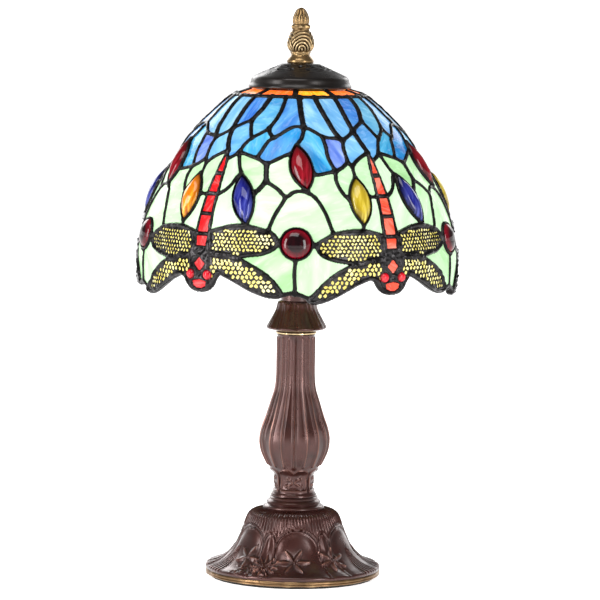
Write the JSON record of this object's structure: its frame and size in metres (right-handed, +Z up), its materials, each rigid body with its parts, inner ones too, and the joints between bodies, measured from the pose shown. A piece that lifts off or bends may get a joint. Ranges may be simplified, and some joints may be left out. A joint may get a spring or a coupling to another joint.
{
  "type": "stained glass table lamp",
  "caption": "Small table lamp with a domed leaded glass dragonfly shade, pierced top cap and finial, on a fluted cast column and a bell foot.",
  "frame": {"origin": "centre of the felt pad's underside, on the axis of the column", "axes": "+Z up along the column to the finial, -Y the front of the lamp, +X to the right seen from the front; the cord outlet faces +Y"},
  "size_m": [0.2001, 0.2024, 0.3585],
  "materials": {
    "felt": "pressed black felt",
    "brass": "aged brass",
    "antique_brass": "antique brass with dark recesses",
    "zinc": "bright zinc plate",
    "bronze": "dark reddish bronze lacquer, rubbed to copper on raised edges",
    "dark_bronze": "near-black bronze lacquer",
    "black_plastic": "moulded black plastic",
    "porcelain": "white glazed porcelain",
    "bulb_glass": "frosted bulb glass, lit",
    "lead": "black patina on lumpy solder",
    "orange_glass": "opalescent orange sheet glass",
    "blue_glass": "streaky opalescent blue sheet glass",
    "green_glass": "opalescent mint green sheet glass",
    "red_jewel": "polished deep red moulded glass",
    "blue_jewel": "polished deep blue moulded glass",
    "amber_jewel": "polished amber moulded glass"
  },
  "bodies": {
    "foot_and_column": {"felt_pad": "felt", "base_rim": "brass", "bottom_plate": "zinc", "tube_nut": "brass", "threaded_tube": "zinc", "base_casting": "bronze", "cord_bushing": "black_plastic", "column": "bronze", "collar": "bronze", "harp": "brass", "harp_stud": "brass", "lampholder_base": "porcelain", "lampholder_shell": "brass"},
    "shade_seat": {"support_washer": "zinc"},
    "shade": {"shade_spider": "lead", "orange_band": "orange_glass", "blue_glass_1": "blue_glass", "green_glass_1": "green_glass", "lower_green_glass_1": "green_glass", "dragonfly_1": "lead", "red_marquise_1": "red_jewel", "blue_marquise_1": "blue_jewel", "amber_marquise_1": "amber_jewel", "cabochon_1": "red_jewel", "blue_glass_2": "blue_glass", "green_glass_2": "green_glass", "lower_green_glass_2": "green_glass", "dragonfly_2": "lead", "red_marquise_2": "red_jewel", "blue_marquise_2": "blue_jewel", "amber_marquise_2": "amber_jewel", "cabochon_2": "red_jewel", "blue_glass_3": "blue_glass", "green_glass_3": "green_glass", "lower_green_glass_3": "green_glass", "dragonfly_3": "lead", "red_marquise_3": "red_jewel", "blue_marquise_3": "blue_jewel", "amber_marquise_3": "amber_jewel", "cabochon_3": "red_jewel", "blue_glass_4": "blue_glass", "green_glass_4": "green_glass", "lower_green_glass_4": "green_glass", "dragonfly_4": "lead", "red_marquise_4": "red_jewel", "blue_marquise_4": "blue_jewel", "amber_marquise_4": "amber_jewel", "cabochon_4": "red_jewel", "blue_glass_5": "blue_glass", "green_glass_5": "green_glass", "lower_green_glass_5": "green_glass", "dragonfly_5": "lead", "red_marquise_5": "red_jewel", "blue_marquise_5": "blue_jewel", "amber_marquise_5": "amber_jewel", "cabochon_5": "red_jewel"},
    "cap": {"vented_cap": "dark_bronze"},
    "finial": {"finial": "antique_brass"},
    "bulb": {"bulb_screw_cap": "brass", "bulb_glass": "bulb_glass"}
  },
  "joints": [
    {"name": "shade_lift", "type": "slide", "parent": "foot_and_column", "child": "shade_seat", "axis": [0, 0, 1], "range_m": [0, 0.033]},
    {"name": "shade_turn", "type": "hinge", "parent": "shade_seat", "child": "shade", "pos_m": [0, 0, 0.3053], "axis": [0, 0, 1], "continuous": true},
    {"name": "cap_lift", "type": "slide", "parent": "shade", "child": "cap", "axis": [0, 0, 1], "range_m": [0, 0.03]},
    {"name": "finial_turn", "type": "hinge", "parent": "cap", "child": "finial", "pos_m": [0, 0, 0.3223], "axis": [0, 0, 1], "continuous": true},
    {"name": "bulb_turn", "type": "hinge", "parent": "foot_and_column", "child": "bulb", "pos_m": [0, 0, 0.2], "axis": [0, 0, 1], "continuous": true}
  ]
}
